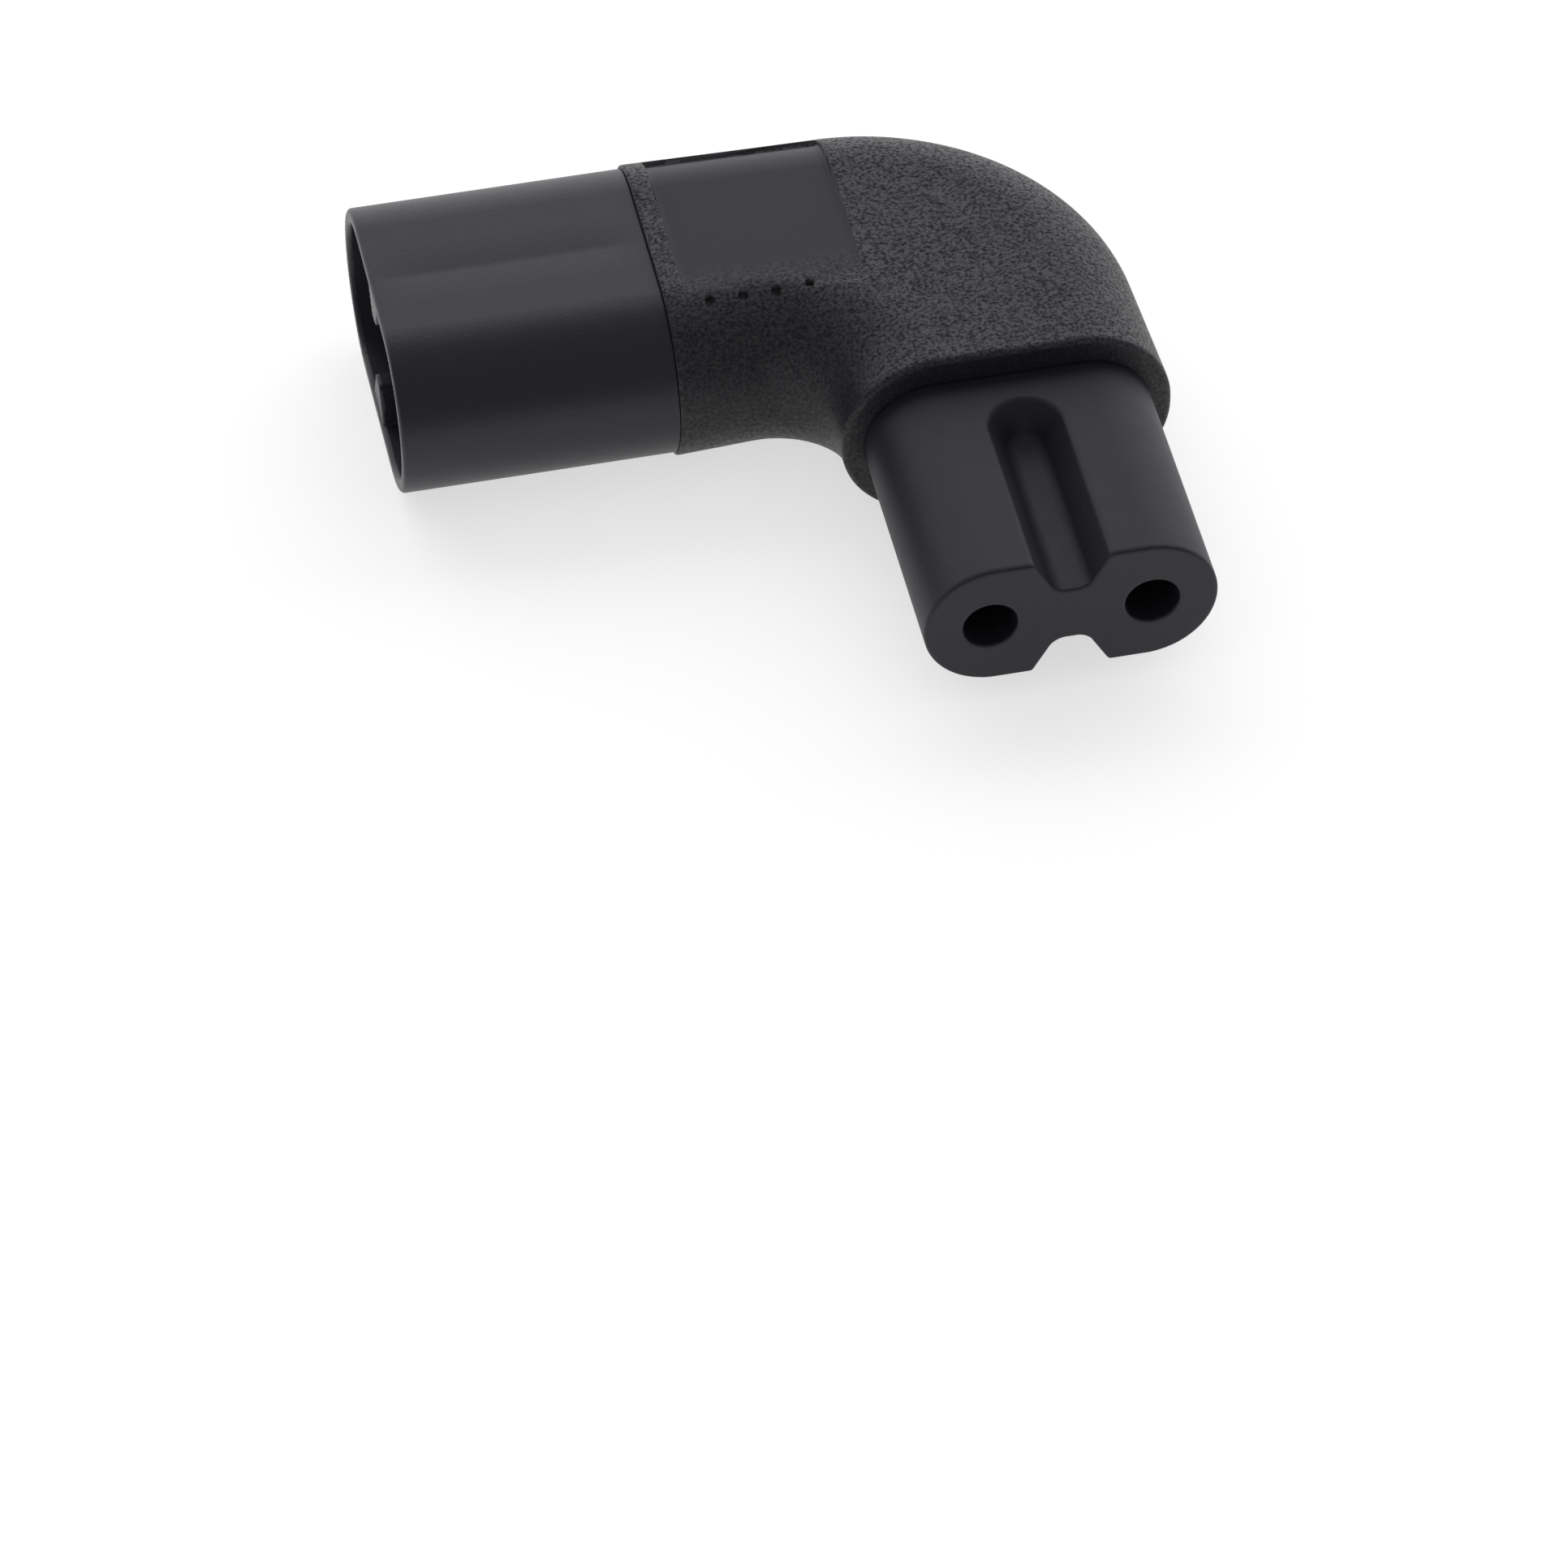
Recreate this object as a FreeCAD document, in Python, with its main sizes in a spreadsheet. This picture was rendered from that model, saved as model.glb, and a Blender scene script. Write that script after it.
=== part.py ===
"""Right-angle figure-eight adapter: a two-pin inlet on one leg, a figure-eight nose on the other.

The inlet looks along -X and the nose along -Y. Inside each body the two connector axes cross at the
local origin, at half the thickness. Every body is then placed so that the part stands on Z = 0 with
the middle of its box over the origin.
"""
import FreeCAD
import Part
import Sketcher

import math
import os

V = FreeCAD.Vector
doc = FreeCAD.newDocument("figure_eight_adapter")

# Driving sizes, in millimetres and degrees
SIZES = [
    ("pin_pitch", 8.6, "centre to centre of the two poles"),
    ("pin_diameter", 2.4, "inlet pin"),
    ("pin_recess", 1.7, "from the rim back to the pin's tip"),
    ("pin_tip_flat", 1.4, "diameter of the flat on the pin's tip"),
    ("pin_tip_length", 0.7, "length of the cone behind that flat"),
    ("pin_root_diameter", 3.0, "thicker root of the pin inside its insert"),
    ("pin_collar_diameter", 4.0, "ring that locks the root in the insert"),
    ("pin_collar_length", 1.2, "length of that ring"),
    ("pin_collar_setback", 1.4, "from the cavity floor to that ring"),
    ("shroud_width", 18.1, "inlet shroud, outside, along Y"),
    ("shroud_height", 10.0, "inlet shroud, outside, along Z"),
    ("shroud_length", 14.9, "from the rim to the seam"),
    ("shroud_wall", 0.8, "wall round the cavity"),
    ("shroud_edge_radius", 0.25, "round on the rim"),
    ("cavity_depth", 12.5, "from the rim to the cavity floor"),
    ("key_base", 2.9, "width of a key at the wall"),
    ("key_tip", 1.1, "width of a key at its tip"),
    ("key_height", 2.0, "how far a key stands in from the wall"),
    ("key_recess", 0.1, "from the rim back to a key"),
    ("inlet_spigot_length", 3.5, "insert behind the seam"),
    ("inlet_spigot_inset", 1.5, "step from the shroud in to that spigot"),
    ("nose_width", 15.6, "nose, along X"),
    ("nose_height", 7.6, "nose, along Z"),
    ("nose_length", 14.6, "from the collar to the face"),
    ("nose_edge_radius", 0.2, "round on the face's edge"),
    ("nose_spigot_length", 3.0, "insert behind the collar"),
    ("nose_spigot_inset", 0.8, "step from the nose in to that spigot"),
    ("groove_mouth", 4.1, "key groove at the nose's surface"),
    ("groove_floor", 2.0, "key groove at its floor"),
    ("groove_depth", 2.1, "depth of the key groove"),
    ("groove_length", 12.6, "from the face to the groove's round end"),
    ("groove_floor_radius", 0.7, "round along the groove's floor"),
    ("groove_mouth_radius", 0.25, "round along the groove's two lips"),
    ("contact_hole", 2.9, "hole in the face for a pin"),
    ("contact_hole_wall", 3.0, "length of that hole"),
    ("contact_diameter", 3.3, "socket contact, outside"),
    ("contact_clearance", 0.1, "round the contact in its chamber"),
    ("contact_bore_depth", 9.0, "depth of the contact's bore"),
    ("contact_lead", 0.3, "lead-in cone of that bore"),
    ("contact_slit_width", 0.4, "slit between the contact's fingers"),
    ("contact_slit_length", 7.0, "length of those slits"),
    ("cup_diameter", 2.6, "solder cup, outside"),
    ("cup_reach", 1.6, "how far a cup stands out behind its insert"),
    ("cup_depth", 1.4, "depth of a cup"),
    ("wire_diameter", 1.2, "jumper conductor"),
    ("insulation_diameter", 2.2, "jumper insulation, outside"),
    ("jumper_lead", 1.05, "straight run of a jumper out of a contact's cup"),
    ("body_thickness", 10.6, "elbow, along Z"),
    ("body_parting_land", 0.3, "flat left on the sides between the two rounds"),
    ("leg_width", 18.2, "elbow at the inlet, along Y"),
    ("collar_width", 17.85, "elbow at the nose, along X"),
    ("leg_draw", 0.25, "how far a leg's outer and inner sides draw in from its end to the bend"),
    ("outer_bend_radius", 15.0, "outside of the elbow"),
    ("inner_bend_radius", 3.4, "inside of the elbow"),
    ("inlet_straight", 4.5, "straight run from the inside bend to the seam"),
    ("outlet_straight", 0.65, "straight run from the inside bend to the collar"),
    ("body_end_radius", 0.3, "round on the elbow's two end edges"),
    ("panel_gap", 1.2, "from the seam to the bare panel"),
    ("panel_length", 9.6, "panel along X"),
    ("panel_depth", 0.35, "how far the panel lies below the skin on the outer side"),
    ("panel_inner_depth", 0.08, "how far it lies below the top of the elbow at its inner end"),
    ("panel_wrap", 42.0, "how far round the outer side the panel reaches, in degrees"),
    ("panel_reach", 5.85, "from the inlet's axis to the panel's inner end"),
    ("dot_diameter", 0.5, "plain mould dot beside the panel"),
    ("dot_depth", 0.5, "from the top of the elbow to a dot's floor"),
    ("dot_margin", 1.2, "from the panel's edge to the first dot"),
    ("dot_pitch", 1.8, "from dot to dot"),
    ("dot_row", 5.45, "from the inlet's axis to the row of dots"),
]

sheet = doc.addObject("Spreadsheet::Sheet", "sizes")
for row, (alias, number, note) in enumerate(SIZES, start=1):
    sheet.set(f"A{row}", note)
    sheet.set(f"B{row}", str(number))
    sheet.setAlias(f"B{row}", alias)
doc.recompute()

# Places that several pieces share, as expressions of the sheet
INLET_LEG = "(sizes.collar_width / 2 + sizes.inner_bend_radius + sizes.inlet_straight)"
OUTLET_LEG = "(sizes.leg_width / 2 + sizes.inner_bend_radius + sizes.outlet_straight)"
RIM_X = f"-({INLET_LEG} + sizes.shroud_length)"
SEAM_X = f"-{INLET_LEG}"
INLET_BACK_X = f"-({INLET_LEG} - sizes.inlet_spigot_length)"
FACE_Y = f"-({OUTLET_LEG} + sizes.nose_length)"
COLLAR_Y = f"-{OUTLET_LEG}"
NOSE_BACK_Y = f"-({OUTLET_LEG} - sizes.nose_spigot_length)"
PIN_CUP_X = f"{INLET_BACK_X} + sizes.cup_reach"
CONTACT_CUP_Y = f"{NOSE_BACK_Y} + sizes.cup_reach"
HALF_PITCH = "sizes.pin_pitch / 2"
BODY_ROUND = "(sizes.body_thickness - sizes.body_parting_land) / 2"
PLACE = {
    "x": f"({INLET_LEG} + sizes.shroud_length - sizes.collar_width / 2) / 2",
    "y": f"({OUTLET_LEG} + sizes.nose_length - sizes.leg_width / 2) / 2",
    "z": "sizes.body_thickness / 2",
}
DOTS = 4
BEYOND = "5"  # how far a cutting outline runs past the skin


def value(expression):
    return float(sheet.evalExpression(expression))


def new_body(name, shift_x="0", shift_y="0"):
    """A body in the shared frame, moved aside for a piece that belongs to one pole."""
    body = doc.addObject("PartDesign::Body", name)
    body.setExpression("Placement.Base.x", f"{PLACE['x']} + {shift_x}")
    body.setExpression("Placement.Base.y", f"{PLACE['y']} + {shift_y}")
    body.setExpression("Placement.Base.z", PLACE["z"])
    return body


def new_sketch(body, name, role, offset="0"):
    sketch = body.newObject("Sketcher::SketchObject", name)
    plane = next(f for f in body.Origin.OriginFeatures if f.Role == role)
    sketch.AttachmentSupport = [(plane, "")]
    sketch.MapMode = "FlatFace"
    sketch.setExpression("AttachmentOffset.Base.z", offset)
    return sketch


def bind(sketch, kind, where, expression):
    """A dimension of the sketch that follows the sheet."""
    number = value(expression)
    if kind == "Angle":
        number = math.radians(number)
    index = sketch.addConstraint(Sketcher.Constraint(kind, *where, number))
    name = f"size_{index}"
    sketch.renameConstraint(index, name)
    sketch.setExpression(f"Constraints.{name}", expression)


def tie(sketch, kind, *where):
    sketch.addConstraint(Sketcher.Constraint(kind, *where))


def line(sketch, start, end):
    return sketch.addGeometry(Part.LineSegment(V(*start, 0), V(*end, 0)), False)


def arc(sketch, centre, radius, start_deg, end_deg):
    circle = Part.Circle(V(*centre, 0), V(0, 0, 1), radius)
    return sketch.addGeometry(Part.ArcOfCircle(circle, math.radians(start_deg), math.radians(end_deg)), False)


def stadium(sketch, width, height):
    """An outline with full-round ends about the sketch's origin, longer along its first axis."""
    radius = value(height) / 2
    centre = value(width) / 2 - radius
    top = line(sketch, (centre, radius), (-centre, radius))
    left = arc(sketch, (-centre, 0), radius, 90, 270)
    bottom = line(sketch, (-centre, -radius), (centre, -radius))
    right = arc(sketch, (centre, 0), radius, -90, 90)
    for first, second in ((top, left), (left, bottom), (bottom, right), (right, top)):
        tie(sketch, "Tangent", first, 2, second, 1)
    tie(sketch, "Horizontal", top)
    tie(sketch, "Equal", left, right)
    tie(sketch, "Symmetric", left, 3, right, 3, -1, 1)
    bind(sketch, "Radius", (right,), f"({height}) / 2")
    bind(sketch, "DistanceX", (left, 3, right, 3), f"({width}) - ({height})")


def circle_at(sketch, x, y, diameter):
    """A circle about a point of the sketch that is given as two expressions."""
    centre = V(value(x), value(y), 0)
    ring = sketch.addGeometry(Part.Circle(centre, V(0, 0, 1), value(diameter) / 2), False)
    bind(sketch, "DistanceX", (-1, 1, ring, 3), x)
    bind(sketch, "DistanceY", (-1, 1, ring, 3), y)
    bind(sketch, "Radius", (ring,), f"({diameter}) / 2")


def polygon(sketch, points):
    """A closed outline of straight edges whose corners are given as pairs of expressions."""
    numbers = [(value(x), value(y)) for x, y in points]
    edges = [line(sketch, numbers[i], numbers[(i + 1) % len(numbers)]) for i in range(len(numbers))]
    for i, edge in enumerate(edges):
        tie(sketch, "Coincident", edge, 2, edges[(i + 1) % len(edges)], 1)
        bind(sketch, "DistanceX", (-1, 1, edge, 1), points[i][0])
        bind(sketch, "DistanceY", (-1, 1, edge, 1), points[i][1])


def pad(body, sketch, length, reverse=False):
    feature = body.newObject("PartDesign::Pad", f"{sketch.Name}_pad")
    feature.Profile = sketch
    feature.setExpression("Length", length)
    feature.Reversed = reverse
    return feature


def pocket(body, sketch, depth, reverse=False, both_sides=False):
    """A cut into the solid: against the sketch's normal, along it, or as far to either side."""
    doc.recompute()
    before = body.Shape.Volume
    feature = body.newObject("PartDesign::Pocket", f"{sketch.Name}_pocket")
    feature.Profile = sketch
    feature.setExpression("Length", depth)
    feature.Reversed = reverse
    if both_sides:
        feature.SideType = "Symmetric"
    doc.recompute()
    if not body.Shape.Volume < before:
        raise RuntimeError(f"{feature.Name} cuts nothing")
    return feature


def mirror_z(body, feature):
    plane = next(f for f in body.Origin.OriginFeatures if f.Role == "XY_Plane")
    mirrored = body.newObject("PartDesign::Mirrored", f"{feature.Name}_mirrored")
    mirrored.Originals = [feature]
    mirrored.MirrorPlane = (plane, [""])
    body.Tip = mirrored
    return mirrored


def fillet(body, feature, radius, picks):
    """Rounds the edges of feature that picks accepts."""
    doc.recompute()
    names = [f"Edge{i}" for i, edge in enumerate(feature.Shape.Edges, start=1) if picks(edge)]
    rounded = body.newObject("PartDesign::Fillet", f"{feature.Name}_round")
    rounded.Base = (feature, names)
    rounded.setExpression("Radius", radius)
    return rounded


def revolve(body, sketch, axis_role):
    axis = next(f for f in body.Origin.OriginFeatures if f.Role == axis_role)
    feature = body.newObject("PartDesign::Revolution", f"{sketch.Name}_turned")
    feature.Profile = sketch
    feature.ReferenceAxis = (axis, [""])
    feature.Angle = 360.0
    return feature


def sweep(body, profile, spine):
    feature = body.newObject("PartDesign::AdditivePipe", f"{profile.Name}_run")
    feature.Profile = profile
    feature.Spine = (spine, [""])
    return feature


def in_plane(edge, axis, place):
    """Whether all of an edge lies where one coordinate has one value."""
    low = getattr(edge.BoundBox, f"{axis}Min")
    high = getattr(edge.BoundBox, f"{axis}Max")
    return abs(low - place) < 1e-4 and abs(high - place) < 1e-4


def along_groove(edge, height, half_width):
    """Whether an edge lies at one height above or below the axis, within a groove's width."""
    level = in_plane(edge, "Z", height) or in_plane(edge, "Z", -height)
    return level and max(edge.BoundBox.XMax, -edge.BoundBox.XMin) < half_width + 1e-4


def cut(name, base, tool):
    feature = doc.addObject("Part::Cut", name)
    feature.Base = base
    feature.Tool = tool
    return feature


def fuse(name, shapes):
    feature = doc.addObject("Part::MultiFuse", name)
    feature.Shapes = shapes
    return feature


def inlet_pin(name, side):
    """Turned brass pin with a coned tip, a thicker root with a locking ring, and a solder cup behind."""
    body = new_body(name, shift_y=f"{side} * {HALF_PITCH}")
    tip = f"{RIM_X} + sizes.pin_recess"
    root_x = f"{RIM_X} + sizes.cavity_depth"
    ring = f"{root_x} + sizes.pin_collar_setback"
    ring_end = f"{ring} + sizes.pin_collar_length"
    flat, shank = "sizes.pin_tip_flat / 2", "sizes.pin_diameter / 2"
    root, collar = "sizes.pin_root_diameter / 2", "sizes.pin_collar_diameter / 2"
    cup, wire = "sizes.cup_diameter / 2", "sizes.wire_diameter / 2"
    floor = f"{PIN_CUP_X} - sizes.cup_depth"
    sketch = new_sketch(body, f"{name}_profile", "XY_Plane")
    polygon(sketch, [
        (tip, "0"), (tip, flat), (f"{tip} + sizes.pin_tip_length", shank), (root_x, shank), (root_x, root),
        (ring, root), (ring, collar), (ring_end, collar), (ring_end, root), (INLET_BACK_X, root),
        (INLET_BACK_X, cup), (PIN_CUP_X, cup), (PIN_CUP_X, wire), (floor, wire), (floor, "0"),
    ])
    revolve(body, sketch, "X_Axis")
    return body


def socket_contact(name, side):
    """Sprung brass sleeve with four fingers that grip a pin, and a solder cup at the back."""
    body = new_body(name, shift_x=f"{side} * {HALF_PITCH}")
    front = f"{FACE_Y} + sizes.contact_hole_wall"
    bottom = f"{front} + sizes.contact_bore_depth"
    outside, bore = "sizes.contact_diameter / 2", "sizes.pin_diameter / 2"
    cup, wire = "sizes.cup_diameter / 2", "sizes.wire_diameter / 2"
    floor = f"{CONTACT_CUP_Y} - sizes.cup_depth"
    sketch = new_sketch(body, f"{name}_profile", "XY_Plane")
    polygon(sketch, [
        (f"{bore} + sizes.contact_lead", front), (bore, f"{front} + sizes.contact_lead"), (bore, bottom),
        ("0", bottom), ("0", floor), (wire, floor), (wire, CONTACT_CUP_Y), (cup, CONTACT_CUP_Y),
        (cup, NOSE_BACK_Y), (outside, NOSE_BACK_Y), (outside, front),
    ])
    revolve(body, sketch, "Y_Axis")
    half_slit = "sizes.contact_slit_width / 2"
    slit_end = f"{front} + sizes.contact_slit_length"
    across = new_sketch(body, f"{name}_slit_across", "XY_Plane")
    polygon(across, [
        (f"-({half_slit})", front), (half_slit, front), (half_slit, slit_end), (f"-({half_slit})", slit_end),
    ])
    pocket(body, across, "2 * sizes.contact_diameter", both_sides=True)
    upright = new_sketch(body, f"{name}_slit_upright", "YZ_Plane")
    polygon(upright, [
        (front, f"-({half_slit})"), (slit_end, f"-({half_slit})"), (slit_end, half_slit), (front, half_slit),
    ])
    pocket(body, upright, "2 * sizes.contact_diameter", both_sides=True)
    return body


def jumper(name, side, start_x, end_y, rings):
    """A run from a pin's cup to a contact's cup: straight, one bend about the elbow's inside, straight."""
    body = new_body(name)
    lane = f"{side} * {HALF_PITCH}"
    bend = f"{lane} - ({CONTACT_CUP_Y} + sizes.jumper_lead)"
    spine = new_sketch(body, f"{name}_path", "XY_Plane")
    at, radius = value(lane), value(bend)
    first = line(spine, (value(start_x), at), (at - radius, at))
    turn = arc(spine, (at - radius, at - radius), radius, 0, 90)
    last = line(spine, (at, at - radius), (at, value(end_y)))
    tie(spine, "Tangent", first, 2, turn, 2)
    tie(spine, "Tangent", turn, 1, last, 1)
    tie(spine, "Horizontal", first)
    tie(spine, "Vertical", last)
    bind(spine, "Radius", (turn,), bend)
    bind(spine, "DistanceX", (-1, 1, first, 1), start_x)
    bind(spine, "DistanceY", (-1, 1, first, 1), lane)
    bind(spine, "DistanceX", (-1, 1, last, 2), lane)
    bind(spine, "DistanceY", (-1, 1, last, 2), end_y)
    section = new_sketch(body, f"{name}_section", "YZ_Plane", start_x)
    for diameter in rings:
        circle_at(section, lane, "0", diameter)
    sweep(body, section, spine)
    return body


def inlet_insert():
    """Hard shroud with a stadium cavity, a key on each wide wall, and a spigot behind the seam."""
    body = new_body("inlet_insert")
    outline = new_sketch(body, "shroud_outline", "YZ_Plane", RIM_X)
    stadium(outline, "sizes.shroud_width", "sizes.shroud_height")
    pad(body, outline, "sizes.shroud_length")
    spigot = new_sketch(body, "inlet_spigot", "YZ_Plane", SEAM_X)
    stadium(spigot, "sizes.shroud_width - 2 * sizes.inlet_spigot_inset",
            "sizes.shroud_height - 2 * sizes.inlet_spigot_inset")
    pad(body, spigot, "sizes.inlet_spigot_length")
    cavity = new_sketch(body, "cavity", "YZ_Plane", RIM_X)
    stadium(cavity, "sizes.shroud_width - 2 * sizes.shroud_wall",
            "sizes.shroud_height - 2 * sizes.shroud_wall")
    hollow = pocket(body, cavity, "sizes.cavity_depth", reverse=True)
    rim = value(RIM_X)
    fillet(body, hollow, "sizes.shroud_edge_radius", lambda edge: in_plane(edge, "X", rim))
    wall = "sizes.shroud_height / 2 - sizes.shroud_wall"
    root = f"{wall} + sizes.shroud_wall / 2"
    tip = f"{wall} - sizes.key_height"
    key = new_sketch(body, "key", "YZ_Plane", f"{RIM_X} + sizes.key_recess")
    polygon(key, [
        ("-sizes.key_base / 2", root), ("-sizes.key_base / 2", wall), ("-sizes.key_tip / 2", tip),
        ("sizes.key_tip / 2", tip), ("sizes.key_base / 2", wall), ("sizes.key_base / 2", root),
    ])
    upper_key = pad(body, key, "sizes.cavity_depth - sizes.key_recess")
    mirror_z(body, upper_key)
    return body


def nose_insert():
    """Hard nose with a key groove on each flat, and a hole, a chamber and a seat for each contact."""
    body = new_body("nose_insert")
    outline = new_sketch(body, "nose_outline", "XZ_Plane", f"-({FACE_Y})")
    stadium(outline, "sizes.nose_width", "sizes.nose_height")
    pad(body, outline, "sizes.nose_length", reverse=True)
    spigot = new_sketch(body, "nose_spigot", "XZ_Plane", f"-({COLLAR_Y})")
    stadium(spigot, "sizes.nose_width - 2 * sizes.nose_spigot_inset",
            "sizes.nose_height - 2 * sizes.nose_spigot_inset")
    pad(body, spigot, "sizes.nose_spigot_length", reverse=True)
    face = value(FACE_Y)
    groove = new_sketch(body, "groove", "XY_Plane", "sizes.nose_height / 2")
    radius = value("sizes.groove_mouth") / 2
    end = face + value("sizes.groove_length") - radius
    open_y = face - value(BEYOND)
    right = line(groove, (radius, open_y), (radius, end))
    top = arc(groove, (0, end), radius, 0, 180)
    left = line(groove, (-radius, end), (-radius, open_y))
    mouth = line(groove, (-radius, open_y), (radius, open_y))
    tie(groove, "Tangent", right, 2, top, 1)
    tie(groove, "Tangent", top, 2, left, 1)
    tie(groove, "Coincident", left, 2, mouth, 1)
    tie(groove, "Coincident", mouth, 2, right, 1)
    tie(groove, "Horizontal", mouth)
    tie(groove, "Vertical", right)
    bind(groove, "Radius", (top,), "sizes.groove_mouth / 2")
    bind(groove, "DistanceX", (-1, 1, top, 3), "0")
    bind(groove, "DistanceY", (-1, 1, top, 3), f"{FACE_Y} + sizes.groove_length - sizes.groove_mouth / 2")
    bind(groove, "DistanceY", (-1, 1, mouth, 1), f"{FACE_Y} - {BEYOND}")
    cutting = pocket(body, groove, "sizes.groove_depth")
    half_draft = "(sizes.groove_mouth - sizes.groove_floor) / 2"
    cutting.setExpression("TaperAngle", f"-atan({half_draft} / sizes.groove_depth)")
    grooves = mirror_z(body, cutting)
    skin = value("sizes.nose_height / 2")
    floor = value("sizes.nose_height / 2 - sizes.groove_depth")
    floored = fillet(body, grooves, "sizes.groove_floor_radius",
                     lambda edge: along_groove(edge, floor, radius) and not in_plane(edge, "Y", face))
    mouthed = fillet(body, floored, "sizes.groove_mouth_radius",
                     lambda edge: along_groove(edge, skin, radius) and not in_plane(edge, "Y", face))
    fillet(body, mouthed, "sizes.nose_edge_radius", lambda edge: in_plane(edge, "Y", face))
    holes = new_sketch(body, "contact_holes", "XZ_Plane", f"-({FACE_Y})")
    chambers = new_sketch(body, "contact_chambers", "XZ_Plane", f"-({COLLAR_Y})")
    seats = new_sketch(body, "contact_seats", "XZ_Plane", f"-({NOSE_BACK_Y})")
    for side in (-1, 1):
        centre = f"{side} * {HALF_PITCH}"
        circle_at(holes, centre, "0", "sizes.contact_hole")
        circle_at(chambers, centre, "0", "sizes.contact_diameter + 2 * sizes.contact_clearance")
        circle_at(seats, centre, "0", "sizes.contact_diameter")
    pocket(body, holes, "sizes.contact_hole_wall")
    pocket(body, chambers, "sizes.nose_length - sizes.contact_hole_wall", reverse=True)
    pocket(body, seats, "sizes.nose_spigot_length", reverse=True)
    return body


def elbow():
    """Soft body moulded round the inserts: a rounded L with a collar and a recessed bare panel."""
    body = new_body("elbow")
    outline = new_sketch(body, "elbow_outline", "XY_Plane")
    seam, collar = value(SEAM_X), value(COLLAR_Y)
    leg, end = value("sizes.leg_width / 2"), value("sizes.collar_width / 2")
    outer, inner = value("sizes.outer_bend_radius"), value("sizes.inner_bend_radius")
    draw = value("sizes.leg_draw")
    near = line(outline, (seam, -leg), (-end - inner, draw - leg))
    crook = arc(outline, (-end - inner, draw - leg - inner), inner, 0, 90)
    inside = line(outline, (-end, draw - leg - inner), (-end, collar))
    front = line(outline, (-end, collar), (end, collar))
    outside = line(outline, (end, collar), (end - draw, leg - draw - outer))
    bend = arc(outline, (end - draw - outer, leg - draw - outer), outer, 0, 90)
    far = line(outline, (end - draw - outer, leg - draw), (seam, leg))
    back = line(outline, (seam, leg), (seam, -leg))
    tie(outline, "Tangent", near, 2, crook, 2)
    tie(outline, "Tangent", crook, 1, inside, 1)
    tie(outline, "Coincident", inside, 2, front, 1)
    tie(outline, "Coincident", front, 2, outside, 1)
    tie(outline, "Tangent", outside, 2, bend, 1)
    tie(outline, "Tangent", bend, 2, far, 1)
    tie(outline, "Coincident", far, 2, back, 1)
    tie(outline, "Coincident", back, 2, near, 1)
    tie(outline, "Vertical", inside)
    tie(outline, "Symmetric", front, 1, front, 2, -2)
    tie(outline, "Symmetric", back, 1, back, 2, -1)
    bind(outline, "DistanceX", (front, 1, front, 2), "sizes.collar_width")
    bind(outline, "DistanceY", (back, 2, back, 1), "sizes.leg_width")
    bind(outline, "DistanceX", (-1, 1, back, 1), SEAM_X)
    bind(outline, "DistanceY", (-1, 1, front, 1), COLLAR_Y)
    bind(outline, "DistanceY", (-1, 1, near, 2), "sizes.leg_draw - sizes.leg_width / 2")
    bind(outline, "DistanceY", (-1, 1, far, 1), "sizes.leg_width / 2 - sizes.leg_draw")
    bind(outline, "DistanceX", (-1, 1, outside, 2), "sizes.collar_width / 2 - sizes.leg_draw")
    bind(outline, "Radius", (crook,), "sizes.inner_bend_radius")
    bind(outline, "Radius", (bend,), "sizes.outer_bend_radius")
    slab = pad(body, outline, "sizes.body_thickness")
    slab.SideType = "Symmetric"

    def along_side(edge):
        flat = in_plane(edge, "Z", edge.BoundBox.ZMin)
        return flat and not in_plane(edge, "X", seam) and not in_plane(edge, "Y", collar)

    rounded = fillet(body, slab, BODY_ROUND, along_side)
    ends = fillet(body, rounded, "sizes.body_end_radius",
                  lambda edge: in_plane(edge, "X", seam) or in_plane(edge, "Y", collar))
    body.Tip = ends
    panel(body)
    return body


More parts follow.
